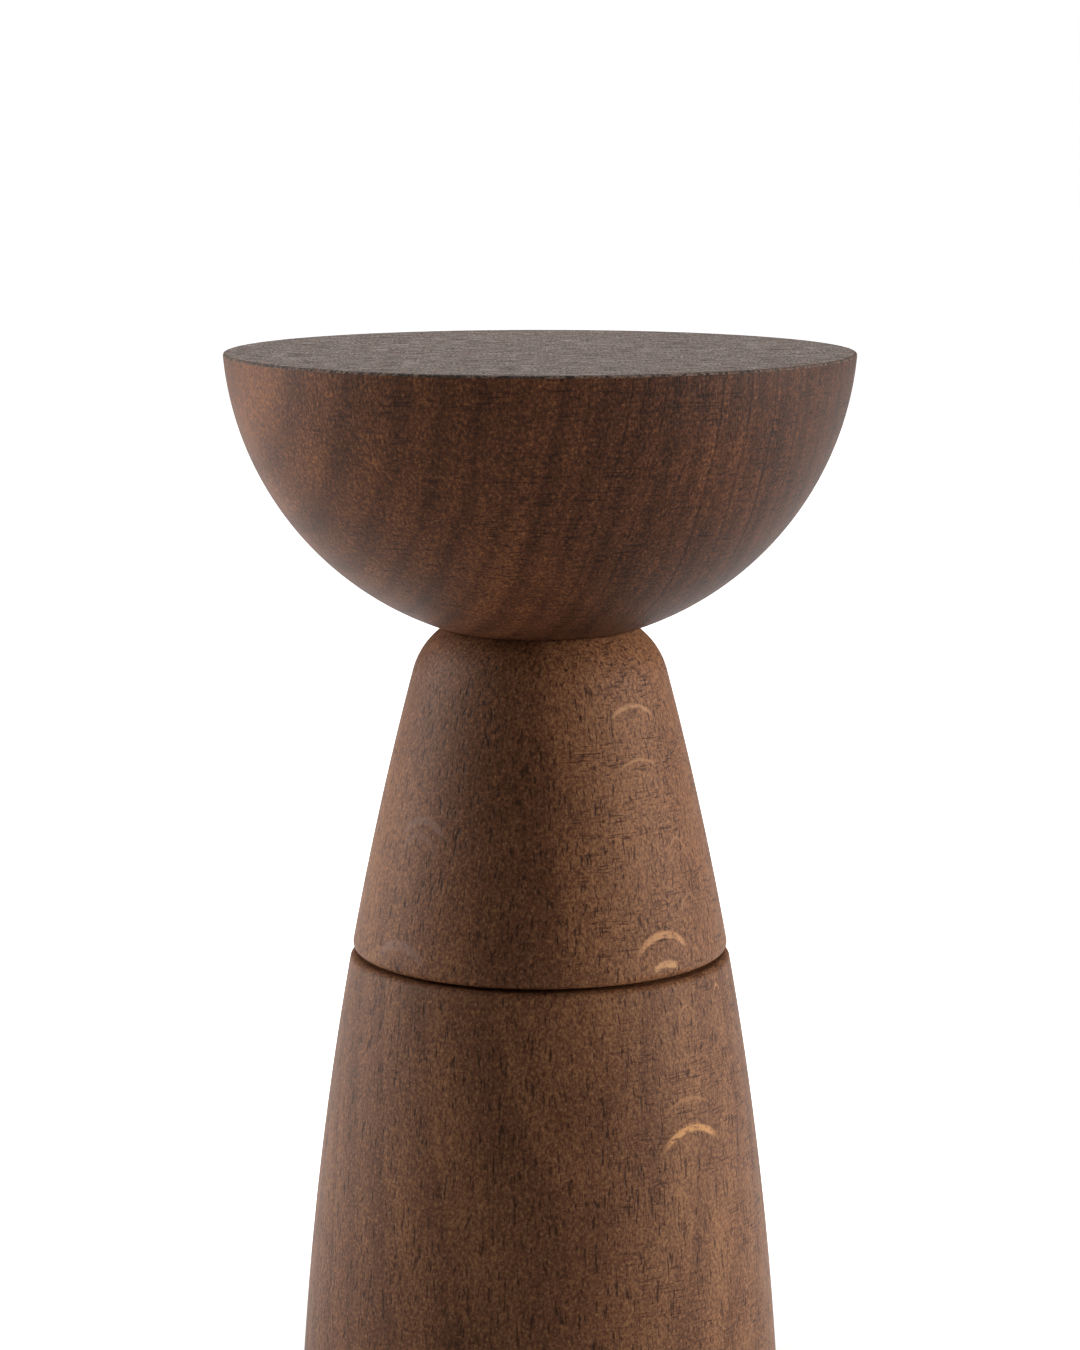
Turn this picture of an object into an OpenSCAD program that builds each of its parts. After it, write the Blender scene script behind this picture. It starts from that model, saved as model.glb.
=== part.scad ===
// Turned wooden spice mill with a half-ball head.
// The head pulls off to fill the chamber. Turning it drives a ceramic burr set in the foot,
// and the wheel under the foot lifts the rotor for a finer grind.

/* [Body] */
// Widest diameter of the turned body
body_d = 53.3; // [52:0.1:70]
// Height at which the body is widest
belly_z = 4.8; // [2:0.1:20]
// Diameter of the flank's long curve where it would pass the neck
flank_top_d = 24.55; // [23:0.05:28]
// Height of the body's top face
seam_z = 75.7; // [60:0.1:95]
// Diameter of the spice chamber
chamber_d = 26; // [22:0.1:28]
// Rounding of the two edges at the parting line
lip_r = 0.8; // [0.3:0.1:1.5]
// Rounding of the foot's outer edge
foot_r = 1.2; // [0.5:0.1:2.5]

/* [Head] */
// Gap between the head and the body
seam_gap = 0.3; // [0.2:0.1:0.6]
// Height of the cone from the gap to the neck
cone_h = 34.8; // [30:0.1:44]
// Diameter of the neck, where the ball sits on the cone
neck_d = 20.4; // [16:0.1:22]
// Rounding of the cone's shoulder
shoulder_r = 8.1; // [6.5:0.1:9.5]
// Diameter of the ball that the head is cut from
ball_d = 66.6; // [52:0.1:84]
// How far the flat top lies under the ball's centre
top_drop = 2.5; // [0:0.1:6]
// Rounding of the rim around the flat top
rim_r = 0.25; // [0.15:0.05:1]
// Diameter of the dowel that joins the ball and the cone
dowel_d = 10; // [6:0.1:13]
// Length of the dowel, half of it in each piece
dowel_l = 26; // [16:0.5:36]
// Gap for glue around the dowel
glue_fit = 0.05; // [0.02:0.01:0.1]
// Length of the spigot that centres the head in the chamber
spigot_l = 9.3; // [8:0.1:14]
// Gap around the spigot
spigot_fit = 0.3; // [0.2:0.05:0.5]
// Thickness of the rubber grip ring
grip_t = 1.8; // [1.4:0.1:2.2]
// Gap between the grip ring and the chamber wall
grip_fit = 0.1; // [0.05:0.01:0.2]

/* [Drive] */
// Width of the square shaft across its flats
shaft_w = 5; // [4:0.1:5.5]
// Diameter of the shaft's round journal
journal_d = 7.4; // [6.6:0.1:8.6]
// Running gap between the journal and its bush
journal_fit = 0.05; // [0.02:0.01:0.1]
// How much thinner than the square the threaded end under the rotor is
thread_under = 0; // [0:0.1:0.8]
// Length of the shaft inside the head
shaft_reach = 15.5; // [12:0.1:18]
// Sliding gap between the shaft and what turns with it
square_fit = 0.1; // [0.05:0.01:0.2]
// Diameter of the socket's barrel in the head
socket_d = 13.2; // [11:0.1:14]
// Thickness of the socket's flange
flange_h = 2.2; // [1.5:0.1:3]
// Width of the slots that let the barrel spring open
slot_w = 1; // [0.6:0.1:1.4]
// Wire thickness of the ring that closes the barrel on the shaft
clasp_t = 0.9; // [0.6:0.1:1.1]

/* [Grinder] */
// Diameter of the pocket in the foot
pocket_d = 42; // [41:0.1:43]
// Depth of the pocket in the foot
pocket_h = 30; // [28:0.1:36]
// Gap around the grinder's housing
housing_fit = 0.3; // [0.2:0.05:0.5]
// Height of the housing's face above the table
recess = 2.5; // [2:0.1:5]
// Thickness of the ledge that carries the ceramic ring
ledge_h = 7.5; // [7:0.1:9]
// Diameter of the outlet under the ceramic ring
outlet_d = 26; // [24.5:0.1:27]
// Outer diameter of the ceramic ring
ring_d = 30.8; // [29:0.1:31]
// Height of the ceramic ring and rotor
ring_h = 9; // [7.5:0.1:10]
// Assembly gap around the ceramic ring
ring_fit = 0.1; // [0.05:0.01:0.2]
// Diameter of the ceramic rotor at its foot
rotor_d = 22.4; // [20.5:0.1:22.6]
// Diameter of the ceramic rotor at its top
rotor_top_d = 15.4; // [15:0.1:17]
// Gap between rotor and ring at the outlet, set to coarse
outlet_gap = 0.75; // [0.6:0.05:1]
// Gap between rotor and ring at the inlet
inlet_gap = 1.6; // [1.2:0.1:2]
// Depth of the grinding teeth
tooth_depth = 0.7; // [0.4:0.1:0.9]
// Width of the grooves between the teeth
groove_w = 1.3; // [0.8:0.1:1.5]
// Number of grooves in the rotor
rotor_grooves = 16; // [10:1:18]
// Number of grooves in the ceramic ring
ring_grooves = 24; // [12:1:26]
// Outer diameter of the rotor's plastic hub
hub_d = 12; // [10.5:0.1:12.4]
// Thickness of the bridge over the grinder
bridge_h = 3; // [2.5:0.1:4]
// Outer diameter of the bush in the bridge
bush_d = 10.4; // [9.6:0.1:11.5]
// Width of the bridge's three spokes
spoke_w = 4; // [3:0.1:5]
// How far the rotor lifts from the coarse to the fine setting
lift = 0.75; // [0.3:0.05:0.75]
// Wire thickness of the rotor spring
spring_t = 0.8; // [0.5:0.1:0.9]
// Number of turns in the rotor spring
spring_turns = 5; // [3:1:5]
// Diameter of the adjusting wheel
wheel_d = 17.2; // [15:0.1:18]
// Height of the adjusting wheel
wheel_h = 4.8; // [4:0.1:5]
// Number of finger grooves around the wheel
wheel_grooves = 18; // [10:1:22]

/* [Screws and clips] */
// Diameter of the long screws that hold the grinder
long_screw_d = 2.5; // [2:0.1:2.8]
// Head diameter of the long screws
long_head_d = 4.6; // [4:0.1:5]
// Bite of the long screws in the wood
long_bite = 8; // [5:0.5:12]
// Diameter of the short screws that hold the socket
short_screw_d = 1.8; // [1.5:0.1:2]
// Head diameter of the short screws
short_head_d = 3.4; // [3:0.1:3.6]
// Bite of the short screws in the wood
short_bite = 6; // [4:0.5:7]
// Gap around the screws
screw_fit = 0.05; // [0.02:0.01:0.1]
// Thickness of the sheet-steel clips
clip_t = 0.6; // [0.4:0.1:0.8]
// Thickness of the two washers
washer_t = 0.4; // [0.3:0.1:0.5]
// Small gap between stacked pieces that turn on each other
stack_gap = 0.1; // [0.05:0.05:0.15]

/* [Hidden] */
$fn = 96;

screw_count = 3;
turn = 360;
cut = 1;              // how far a cutting tool runs past the face it opens
arc_step = 4;         // degrees between the points of a small arc

// Turned outline of body and cone: one long arc, widest at belly_z
body_r = body_d / 2;
cone_z = seam_z + seam_gap;
neck_r = neck_d / 2;
neck_z = cone_z + cone_h;
flank_in = body_r - flank_top_d / 2;   // how far the flank curves in between belly and neck
flank_r = (pow(flank_in, 2) + pow(neck_z - belly_z, 2)) / (2 * flank_in);
flank_c = [body_r - flank_r, belly_z];
shoulder_c = lower_meet(flank_c, flank_r - shoulder_r, [neck_r, neck_z], shoulder_r);

// Ball of the head, resting on the neck
ball_r = ball_d / 2;
ball_z = neck_z + sqrt(ball_r * ball_r - neck_r * neck_r);
top_z = ball_z - top_drop;

// Spigot, dowel and socket of the head
barrel_rise = 1.5;    // the barrel ends above the shaft
barrel_room = 0.5;    // lets the barrel spring open
clasp_drop = 2.5;     // from the barrel's end down to its ring
flange_step = 1.8;    // from the spigot's edge in to the flange
slot_depth = 9;
chamber_r = chamber_d / 2;
spigot_r = chamber_r - spigot_fit;
spigot_z = cone_z - spigot_l;
grip_r = grip_t / 2;
grip_ring_r = chamber_r - grip_fit - grip_r;
grip_z = spigot_z + spigot_l / 2;
socket_r = socket_d / 2;
socket_z = spigot_z - flange_h;
shaft_top = spigot_z + shaft_reach;
barrel_top = shaft_top + barrel_rise;
clasp_z = barrel_top - clasp_drop;
clasp_r = socket_r - clasp_t / 2;
barrel_hole_r = socket_r + barrel_room;
flange_r = spigot_r - flange_step;
short_screw_r = (barrel_hole_r + spigot_r - grip_t) / 2;

// Levels of the grinder, from the table up
hub_rise = 0.5;       // the hub stands out above the ceramic
hub_flange_w = 3;     // the ceramic rests on the hub's flange
shaft_end = 0.8;      // shaft left below the lower clip
housing_r = pocket_d / 2 - housing_fit;
ring_z = recess + ledge_h;
ring_top = ring_z + ring_h;
bridge_z = pocket_h - bridge_h;
hub_flange_h = 1.4;
hub_z = ring_z - hub_flange_h;
hub_top = ring_top + hub_rise;
hub_r = hub_d / 2;
hub_flange_r = hub_r + hub_flange_w;
wheel_top = hub_z - washer_t;
wheel_z = wheel_top - wheel_h;
clip_z = wheel_z - stack_gap - clip_t;
shaft_z = clip_z - shaft_end;
thread_top = hub_z + lift + stack_gap;
thread_d = shaft_w - thread_under;
outlet_r = outlet_d / 2;
ring_r = ring_d / 2;
rotor_r = rotor_d / 2;
rotor_top_r = rotor_top_d / 2;

// Bearing in the bridge
bridge_hub_drop = 0.5;
bridge_hub_w = 2.2;
bush_rise = 0.4;
journal_end = 0.9;    // journal left above the upper clip
bush_z = bridge_z - bridge_hub_drop;
bush_top = pocket_h + bush_rise;
bush_r = bush_d / 2;
bridge_hub_r = bush_r + bridge_hub_w;
journal_r = journal_d / 2;
thrust_z = bush_z - stack_gap - washer_t;
upper_clip_z = bush_top + stack_gap;
journal_top = upper_clip_z + clip_t + journal_end;
groove_in = 0.7;      // depth of the grooves that hold the clips
clip_out = 1.9;       // how far a clip stands out of its groove's shaft
spring_in = 1.3;      // from the hub's edge in to the middle of the spring's wire
spring_r = hub_r - spring_in;
skirt_t = 1.4;        // wall of the skirt that holds the ceramic ring down

// Screw circle of the grinder, in the middle of the housing's wall
long_screw_r = (ring_r + ring_fit + housing_r) / 2;
long_head_h = 2;
seat_drop = 1;        // from the ring's seat down to the screw heads
long_seat_z = ring_z - seat_drop;
screw_turn = turn / screw_count / 2;   // the screws sit between the bridge's spokes
short_head_h = 1.1;

// Lower of the two points where two circles in a plane meet
function lower_meet(a, ra, b, rb) =
    let (d = norm(b - a), u = (b - a) / d, m = (ra * ra - rb * rb + d * d) / (2 * d),
         h = sqrt(ra * ra - m * m))
    a + m * u + h * [u[1], -u[0]];

// Radius of the flank at a height, and of a circle that touches it from inside
function flank_x(z, in = 0) = flank_c[0] + sqrt(pow(flank_r - in, 2) - pow(z - flank_c[1], 2));

// Direction, in degrees, from one point of the outline to another
function aim(from, to) = atan2(to[1] - from[1], to[0] - from[0]);

// Points along an arc from angle a0 to a1
function arc(c, r, a0, a1, step = arc_step) =
    let (n = max(2, ceil(abs(a1 - a0) / step)))
    [for (i = [0 : n]) let (a = a0 + (a1 - a0) * i / n) c + r * [cos(a), sin(a)]];

// Points along the flank between two heights
function flank_arc(z0, z1) =
    arc(flank_c, flank_r, asin((z0 - flank_c[1]) / flank_r), asin((z1 - flank_c[1]) / flank_r), 1);

module tube(z0, z1, r_out, r_in) {
    translate([0, 0, z0]) difference() {
        cylinder(r = r_out, h = z1 - z0);
        translate([0, 0, -cut]) cylinder(r = r_in, h = z1 - z0 + 2 * cut);
    }
}

module bore(z0, z1, r) {
    translate([0, 0, z0]) cylinder(r = r, h = z1 - z0);
}

module around(count, start = 0) {
    for (i = [0 : count - 1]) rotate([0, 0, start + i * turn / count]) children();
}

// Square bar or hole across the axis, with its width across the flats
module square_bar(z0, z1, w) {
    translate([-w / 2, -w / 2, z0]) cube([w, w, z1 - z0]);
}

// Pan-head screw pointing up, with a straight slot in its head
module screw(d, bite, head_d, head_h) {
    blade_w = head_d / 7;
    difference() {
        union() {
            cylinder(d = head_d, h = head_h);
            cylinder(d = d, h = head_h + bite);
        }
        translate([-head_d / 2 - cut, -blade_w / 2, -cut])
            cube([head_d + 2 * cut, blade_w, cut + head_h / 2]);
    }
}

// Snap clip: a flat ring with a mouth a little narrower than the groove it grips
module snap_clip(z, groove_r, out_r) {
    mouth = 1.6 * groove_r;
    difference() {
        tube(z, z + clip_t, out_r, groove_r);
        translate([0, -mouth / 2, z - cut]) cube([out_r + cut, mouth, clip_t + 2 * cut]);
    }
}

module mill_body() {
    lip_z = seam_z - lip_r;
    lip_c = [flank_x(lip_z, lip_r), lip_z];
    foot_c = [flank_x(foot_r, foot_r), foot_r];
    lip_a = aim(flank_c, lip_c);
    foot_a = aim(flank_c, foot_c);
    color("#6b4a37") difference() {
        rotate_extrude() polygon(concat(
            [[0, 0]],
            arc(foot_c, foot_r, -90, foot_a, 15),
            flank_arc(foot_r + foot_r * sin(foot_a), lip_z + lip_r * sin(lip_a)),
            arc(lip_c, lip_r, lip_a, 90, 15),
            [[0, seam_z]]));
        bore(-cut, pocket_h, pocket_d / 2);
        bore(pocket_h - cut, seam_z + cut, chamber_r);
        around(screw_count, screw_turn) translate([long_screw_r, 0, pocket_h - cut])
            cylinder(r = long_screw_d / 2 + screw_fit, h = long_bite + 2 * cut);
    }
}

module grinder_housing() {
    color("#26221f") difference() {
        bore(recess, bridge_z, housing_r);
        bore(recess - cut, ring_z + cut, outlet_r);
        bore(ring_z, bridge_z + cut, ring_r + ring_fit);
        around(screw_count, screw_turn) translate([long_screw_r, 0, 0]) {
            bore(recess - cut, bridge_z + cut, long_screw_d / 2 + screw_fit);
            bore(recess - cut, long_seat_z, long_head_d / 2 + screw_fit);
        }
    }
}

// Ceramic ring: its bore narrows upwards, and its inner wall is grooved
module grinding_ring() {
    low_r = rotor_r + outlet_gap;
    high_r = rotor_top_r + inlet_gap;
    color("#d9d3c8") difference() {
        bore(ring_z, ring_top, ring_r);
        translate([0, 0, ring_z]) cylinder(r1 = low_r, r2 = high_r, h = ring_h);
        bore(ring_z - cut, ring_z + cut / 4, low_r);
        bore(ring_top - cut / 4, ring_top + cut, high_r);
        around(ring_grooves) translate([high_r, 0, ring_z - cut])
            rotate([0, -atan2(low_r - high_r, ring_h), 0])
                translate([-cut, -groove_w / 2, 0])
                    cube([cut + low_r - high_r + tooth_depth, groove_w, ring_h + 3 * cut]);
    }
}

module bearing_bridge() {
    color("#26221f") difference() {
        union() {
            tube(bridge_z, pocket_h, housing_r, chamber_r);
            tube(ring_top, bridge_z + cut, ring_r, ring_r - skirt_t);
            bore(bush_z, pocket_h, bridge_hub_r);
            around(screw_count) translate([0, -spoke_w / 2, bridge_z])
                cube([chamber_r + cut / 2, spoke_w, bridge_h]);
        }
        bore(bush_z - cut, pocket_h + cut, bush_r);
        around(screw_count, screw_turn) translate([long_screw_r, 0, 0])
            bore(bridge_z - cut, pocket_h + cut, long_screw_d / 2 + screw_fit);
    }
}

module bearing_bush() {
    color("#b08d57") tube(bush_z, bush_top, bush_r, journal_r + journal_fit);
}

module housing_screws() {
    color("#b9bcc0") around(screw_count, screw_turn)
        translate([long_screw_r, 0, long_seat_z - long_head_h])
            screw(long_screw_d, pocket_h + long_bite - long_seat_z, long_head_d, long_head_h);
}

// Square bar with a round journal in the bush and a round threaded end for the wheel
module drive_shaft() {
    color("#c9ccd0") difference() {
        union() {
            bore(shaft_z, thread_top, thread_d / 2);
            square_bar(thread_top, shaft_top, shaft_w);
            bore(thrust_z - stack_gap, journal_top, journal_r);
        }
        tube(upper_clip_z, upper_clip_z + clip_t, journal_r + cut, journal_r - groove_in);
        tube(clip_z, clip_z + clip_t, thread_d / 2 + cut, thread_d / 2 - groove_in);
    }
}

module shaft_clip() {
    color("#8f9296") snap_clip(upper_clip_z, journal_r - groove_in, journal_r + clip_out);
}

module wheel_clip() {
    color("#8f9296") snap_clip(clip_z, thread_d / 2 - groove_in, thread_d / 2 + clip_out);
}

module thrust_washer() {
    color("#8f9296") tube(thrust_z, thrust_z + washer_t, bush_r, journal_r + stack_gap);
}

// Coil spring between the rotor's hub and the washer under the bridge
module rotor_spring() {
    sides = 8;
    steps = 20;
    low = hub_top + spring_t / 2;
    rise = thrust_z - hub_top - spring_t;
    rings = spring_turns * steps;
    points = [for (i = [0 : rings]) let (a = i * turn / steps, z = low + rise * i / rings)
        for (k = [0 : sides - 1]) let (b = k * turn / sides, r = spring_r + spring_t / 2 * cos(b))
            [r * cos(a), r * sin(a), z + spring_t / 2 * sin(b)]];
    walls = [for (i = [0 : rings - 1], k = [0 : sides - 1])
        let (p = i * sides, q = p + sides, m = (k + 1) % sides) [p + k, q + k, q + m, p + m]];
    ends = [[for (k = [0 : sides - 1]) k],
            [for (k = [sides - 1 : -1 : 0]) rings * sides + k]];
    color("#c3c6c9") polyhedron(points, concat(walls, ends), convexity = 10);
}

module rotor_hub() {
    color("#e8e4da") difference() {
        union() {
            bore(hub_z, ring_z, hub_flange_r);
            bore(hub_z, hub_top, hub_r);
        }
        square_bar(hub_z - cut, hub_top + cut, shaft_w + 2 * square_fit);
    }
}

// Ceramic rotor: a cone that widens downwards, with slanted grooves
module grinding_rotor() {
    lean = atan2(rotor_r - rotor_top_r, ring_h);
    twist = 18;
    color("#d9d3c8") difference() {
        translate([0, 0, ring_z]) cylinder(r1 = rotor_r, r2 = rotor_top_r, h = ring_h);
        bore(ring_z - cut, ring_top + cut, hub_r + ring_fit);
        around(rotor_grooves) translate([rotor_r, 0, ring_z])
            rotate([0, -lean, 0]) rotate([twist, 0, 0])
                translate([-tooth_depth, -groove_w / 2, -cut])
                    cube([cut + tooth_depth, groove_w, ring_h + 3 * cut]);
    }
}

module wheel_washer() {
    color("#8f9296") tube(wheel_top, wheel_top + washer_t, hub_flange_r - 1,
                          shaft_w / sqrt(2) + square_fit);
}

module adjusting_wheel() {
    wheel_r = wheel_d / 2;
    notch_r = 0.9;
    dish_r = wheel_r * 2 / 3;
    dish_h = wheel_h / 5;
    color("#e8e4da") difference() {
        bore(wheel_z, wheel_top, wheel_r);
        bore(wheel_z - cut, wheel_top + cut, thread_d / 2 + square_fit);
        around(wheel_grooves) translate([wheel_r + notch_r / 3, 0, 0])
            bore(wheel_z - cut, wheel_top + cut, notch_r);
        bore(wheel_z - cut, wheel_z + dish_h, dish_r);
    }
}

module head_ball() {
    rim_z = top_z - rim_r;
    rim_c = [sqrt(pow(ball_r - rim_r, 2) - pow(rim_z - ball_z, 2)), rim_z];
    ball_c = [0, ball_z];
    rim_a = aim(ball_c, rim_c);
    color("#5a3c2c") difference() {
        rotate_extrude() polygon(concat(
            [[0, neck_z]],
            arc(ball_c, ball_r, aim(ball_c, [neck_r, neck_z]), rim_a, 3),
            arc(rim_c, rim_r, rim_a, 90, 15),
            [[0, top_z]]));
        bore(neck_z - cut, neck_z + dowel_l / 2 + cut, dowel_d / 2 + glue_fit);
    }
}

module neck_dowel() {
    color("#c8a877") bore(neck_z - dowel_l / 2, neck_z + dowel_l / 2, dowel_d / 2);
}

module head_cone() {
    lip_z = cone_z + lip_r;
    lip_c = [flank_x(lip_z, lip_r), lip_z];
    lip_a = aim(flank_c, lip_c);
    shoulder_a = aim(flank_c, shoulder_c);
    color("#6b4a37") difference() {
        rotate_extrude() polygon(concat(
            [[0, spigot_z], [spigot_r, spigot_z], [spigot_r, cone_z]],
            arc(lip_c, lip_r, -90, lip_a, 15),
            flank_arc(lip_z + lip_r * sin(lip_a), shoulder_c[1] + shoulder_r * sin(shoulder_a)),
            arc(shoulder_c, shoulder_r, shoulder_a, aim(shoulder_c, [neck_r, neck_z]), 6),
            [[0, neck_z]]));
        bore(spigot_z - cut, barrel_top + cut, barrel_hole_r);
        bore(neck_z - dowel_l / 2 - cut, neck_z + cut, dowel_d / 2 + glue_fit);
        rotate_extrude() translate([grip_ring_r, grip_z]) circle(r = grip_r + glue_fit);
        around(screw_count) translate([short_screw_r, 0, 0])
            bore(spigot_z - cut, spigot_z + short_bite + cut, short_screw_d / 2 + screw_fit);
    }
}

module grip_ring() {
    color("#1d1c1b") rotate_extrude() translate([grip_ring_r, grip_z]) circle(r = grip_r);
}

module drive_socket() {
    color("#26221f") difference() {
        union() {
            bore(socket_z, spigot_z, flange_r);
            bore(socket_z, barrel_top, socket_r);
        }
        square_bar(socket_z - cut, barrel_top + cut, shaft_w + 2 * square_fit);
        for (a = [0, turn / 4]) rotate([0, 0, a])
            translate([-socket_d, -slot_w / 2, barrel_top - slot_depth])
                cube([2 * socket_d, slot_w, slot_depth + cut]);
        rotate_extrude() translate([clasp_r, clasp_z]) circle(r = clasp_t / 2 + glue_fit);
        around(screw_count) translate([short_screw_r, 0, 0]) {
            bore(socket_z - cut, spigot_z + cut, short_screw_d / 2 + screw_fit);
            bore(socket_z - cut, socket_z + short_head_h, short_head_d / 2 + screw_fit);
        }
    }
}

module clasp_ring() {
    color("#c3c6c9") rotate_extrude() translate([clasp_r, clasp_z]) circle(r = clasp_t / 2);
}

module socket_screws() {
    color("#b9bcc0") around(screw_count) translate([short_screw_r, 0, socket_z])
        screw(short_screw_d, flange_h + short_bite - short_head_h, short_head_d, short_head_h);
}

mill_body();
grinder_housing();
grinding_ring();
bearing_bridge();
bearing_bush();
housing_screws();
drive_shaft();
shaft_clip();
thrust_washer();
rotor_spring();
wheel_clip();
rotor_hub();
grinding_rotor();
wheel_washer();
adjusting_wheel();
head_ball();
neck_dowel();
head_cone();
grip_ring();
drive_socket();
clasp_ring();
socket_screws();
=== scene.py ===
from math import asin, atan2, cos, degrees, inf, pi, radians, sin, sqrt

import bmesh
import bpy
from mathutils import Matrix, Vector


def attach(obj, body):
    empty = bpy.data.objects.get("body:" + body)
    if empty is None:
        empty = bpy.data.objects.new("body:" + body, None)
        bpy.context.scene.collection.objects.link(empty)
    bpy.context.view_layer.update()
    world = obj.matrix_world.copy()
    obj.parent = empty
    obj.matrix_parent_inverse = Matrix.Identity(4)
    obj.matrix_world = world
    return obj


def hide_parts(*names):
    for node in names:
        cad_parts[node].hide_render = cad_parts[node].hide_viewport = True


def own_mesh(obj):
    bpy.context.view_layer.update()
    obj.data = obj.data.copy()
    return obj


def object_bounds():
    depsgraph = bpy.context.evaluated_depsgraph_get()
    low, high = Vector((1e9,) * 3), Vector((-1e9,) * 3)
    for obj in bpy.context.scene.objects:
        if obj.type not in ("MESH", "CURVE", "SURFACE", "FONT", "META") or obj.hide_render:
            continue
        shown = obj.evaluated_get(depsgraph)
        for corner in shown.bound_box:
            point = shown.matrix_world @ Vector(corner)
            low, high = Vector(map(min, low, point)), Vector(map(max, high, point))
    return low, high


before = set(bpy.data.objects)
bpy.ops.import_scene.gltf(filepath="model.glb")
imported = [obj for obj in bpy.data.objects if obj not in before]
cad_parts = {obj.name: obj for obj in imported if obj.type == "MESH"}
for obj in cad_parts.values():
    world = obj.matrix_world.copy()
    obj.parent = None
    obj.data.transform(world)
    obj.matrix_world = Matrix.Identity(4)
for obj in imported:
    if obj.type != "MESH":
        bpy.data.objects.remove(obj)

cad_low, cad_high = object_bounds()

# ---------------------------------------------------------------------------
# Studio. The mill stands on a white sweep between two large softboxes, level
# with it, so that its front stays in soft shade; a third hangs high behind it.
# ---------------------------------------------------------------------------

MM = 0.001
top_of_head = cad_high.z


def linear(colour, alpha=1.0):
    """The scene-linear colour of an sRGB hex value."""
    parts = [int(colour[i:i + 2], 16) / 255 for i in (1, 3, 5)]
    return [c / 12.92 if c <= 0.04045 else ((c + 0.055) / 1.055) ** 2.4 for c in parts] + [alpha]


def node(tree, kind, *values, **named):
    """Adds a node with its settings and links. The values go to its inputs in use, in order,
    a capitalised name gives the input so called, and the other names are settings. A node
    given as a value stands for its first output in use."""
    made = tree.nodes.new(kind)
    for name, value in named.items():
        if name.islower():
            setattr(made, name, value)
    given = list(zip([socket for socket in made.inputs if socket.enabled], values))
    given += [(made.inputs[name.replace("_", " ")], value)
              for name, value in named.items() if not name.islower()]
    for socket, value in given:
        if isinstance(value, bpy.types.Node):
            value = next(output for output in value.outputs if output.enabled)
        if isinstance(value, bpy.types.NodeSocket):
            tree.links.new(value, socket)
        else:
            socket.default_value = value
    return made


def unpainted(name):
    """A new material with an empty node tree."""
    made = bpy.data.materials.new(name)
    made.use_nodes = True
    made.node_tree.nodes.clear()
    return made


camera_distance = 0.3895
camera_height = 0.02825          # above the flat top of the head
camera_pitch = 9.146
camera = bpy.data.objects.new("camera", bpy.data.cameras.new("camera"))
camera.data.lens = 98.87
camera.data.sensor_width = 36
camera.data.clip_start = 0.01
camera.location = (0, -camera_distance, top_of_head + camera_height)
camera.rotation_euler = (radians(90 - camera_pitch), 0, 0)
bpy.context.collection.objects.link(camera)
bpy.context.scene.camera = camera
bpy.context.scene.view_settings.view_transform = "Standard"


def softbox(name, azimuth, elevation, distance, width, height, watts):
    """A softbox aimed at the mill's middle; azimuth 0 is the front, 90 the right."""
    lamp = bpy.data.lights.new(name, "AREA")
    lamp.shape = "RECTANGLE"
    lamp.size, lamp.size_y = width, height
    lamp.energy = watts
    a, e = radians(azimuth), radians(elevation)
    away = Vector((sin(a) * cos(e), -cos(a) * cos(e), sin(e)))
    box = bpy.data.objects.new(name, lamp)
    box.location = Vector((0, 0, top_of_head * 0.6)) + away * distance
    box.rotation_euler = away.to_track_quat("Z", "Y").to_euler()
    box.visible_camera = False
    bpy.context.collection.objects.link(box)


softbox("softbox_left", -104, 14, 0.8, 0.5, 0.7, 7.6)
softbox("softbox_right", 84, 2, 0.8, 0.7, 0.6, 10.6)
softbox("softbox_top", 180, 66, 1.0, 0.9, 0.6, 6.5)

world = bpy.data.worlds.new("white sweep")
world.use_nodes = True
bpy.context.scene.world = world
sky = world.node_tree
sky.nodes.clear()
to_the_eye = node(sky, "ShaderNodeBackground", linear("#ffffff"), 1.0)
on_the_mill = node(sky, "ShaderNodeBackground", linear("#ffffff"), 0.06)
seen = node(sky, "ShaderNodeLightPath").outputs["Is Camera Ray"]
node(sky, "ShaderNodeOutputWorld", node(sky, "ShaderNodeMixShader", seen, on_the_mill, to_the_eye))


def lathe(name, profile, segments, materials, faces=lambda r, z: 0):
    """Turns a profile of (radius, height) points in millimetres about Z. A point on the
    axis becomes a pole; a profile that starts and ends off the axis closes on itself."""
    mesh = bmesh.new()
    rings = []
    for r, z in profile:
        if r < 1e-6:
            rings.append([mesh.verts.new((0, 0, z * MM))])
        else:
            rings.append([mesh.verts.new((r * MM * cos(2 * pi * i / segments),
                                          r * MM * sin(2 * pi * i / segments), z * MM))
                          for i in range(segments)])
    closed = len(rings[0]) > 1 and len(rings[-1]) > 1
    pairs = list(zip(rings, rings[1:] + rings[:1])) if closed else list(zip(rings, rings[1:]))
    steps = list(zip(profile, profile[1:] + profile[:1]))
    for (low, high), (p, q) in zip(pairs, steps):
        slot = faces((p[0] + q[0]) / 2, (p[1] + q[1]) / 2)
        for i in range(segments):
            j = (i + 1) % segments
            corners = [low[i % len(low)], low[j % len(low)], high[j % len(high)], high[i % len(high)]]
            face = mesh.faces.new(list(dict.fromkeys(corners)))
            face.material_index = slot
            face.smooth = True
    bmesh.ops.recalc_face_normals(mesh, faces=mesh.faces)
    return finished(name, mesh, materials)


def finished(name, mesh, materials):
    """Turns a bmesh into an object with its materials, with edges over 35 degrees kept sharp."""
    made = bpy.data.objects.new(name, bpy.data.meshes.new(name))
    for edge in mesh.edges:
        if len(edge.link_faces) == 2 and edge.calc_face_angle(0) > radians(35):
            edge.smooth = False
    mesh.to_mesh(made.data)
    mesh.free()
    for material in materials:
        made.data.materials.append(material)
    bpy.context.collection.objects.link(made)
    return made


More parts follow.
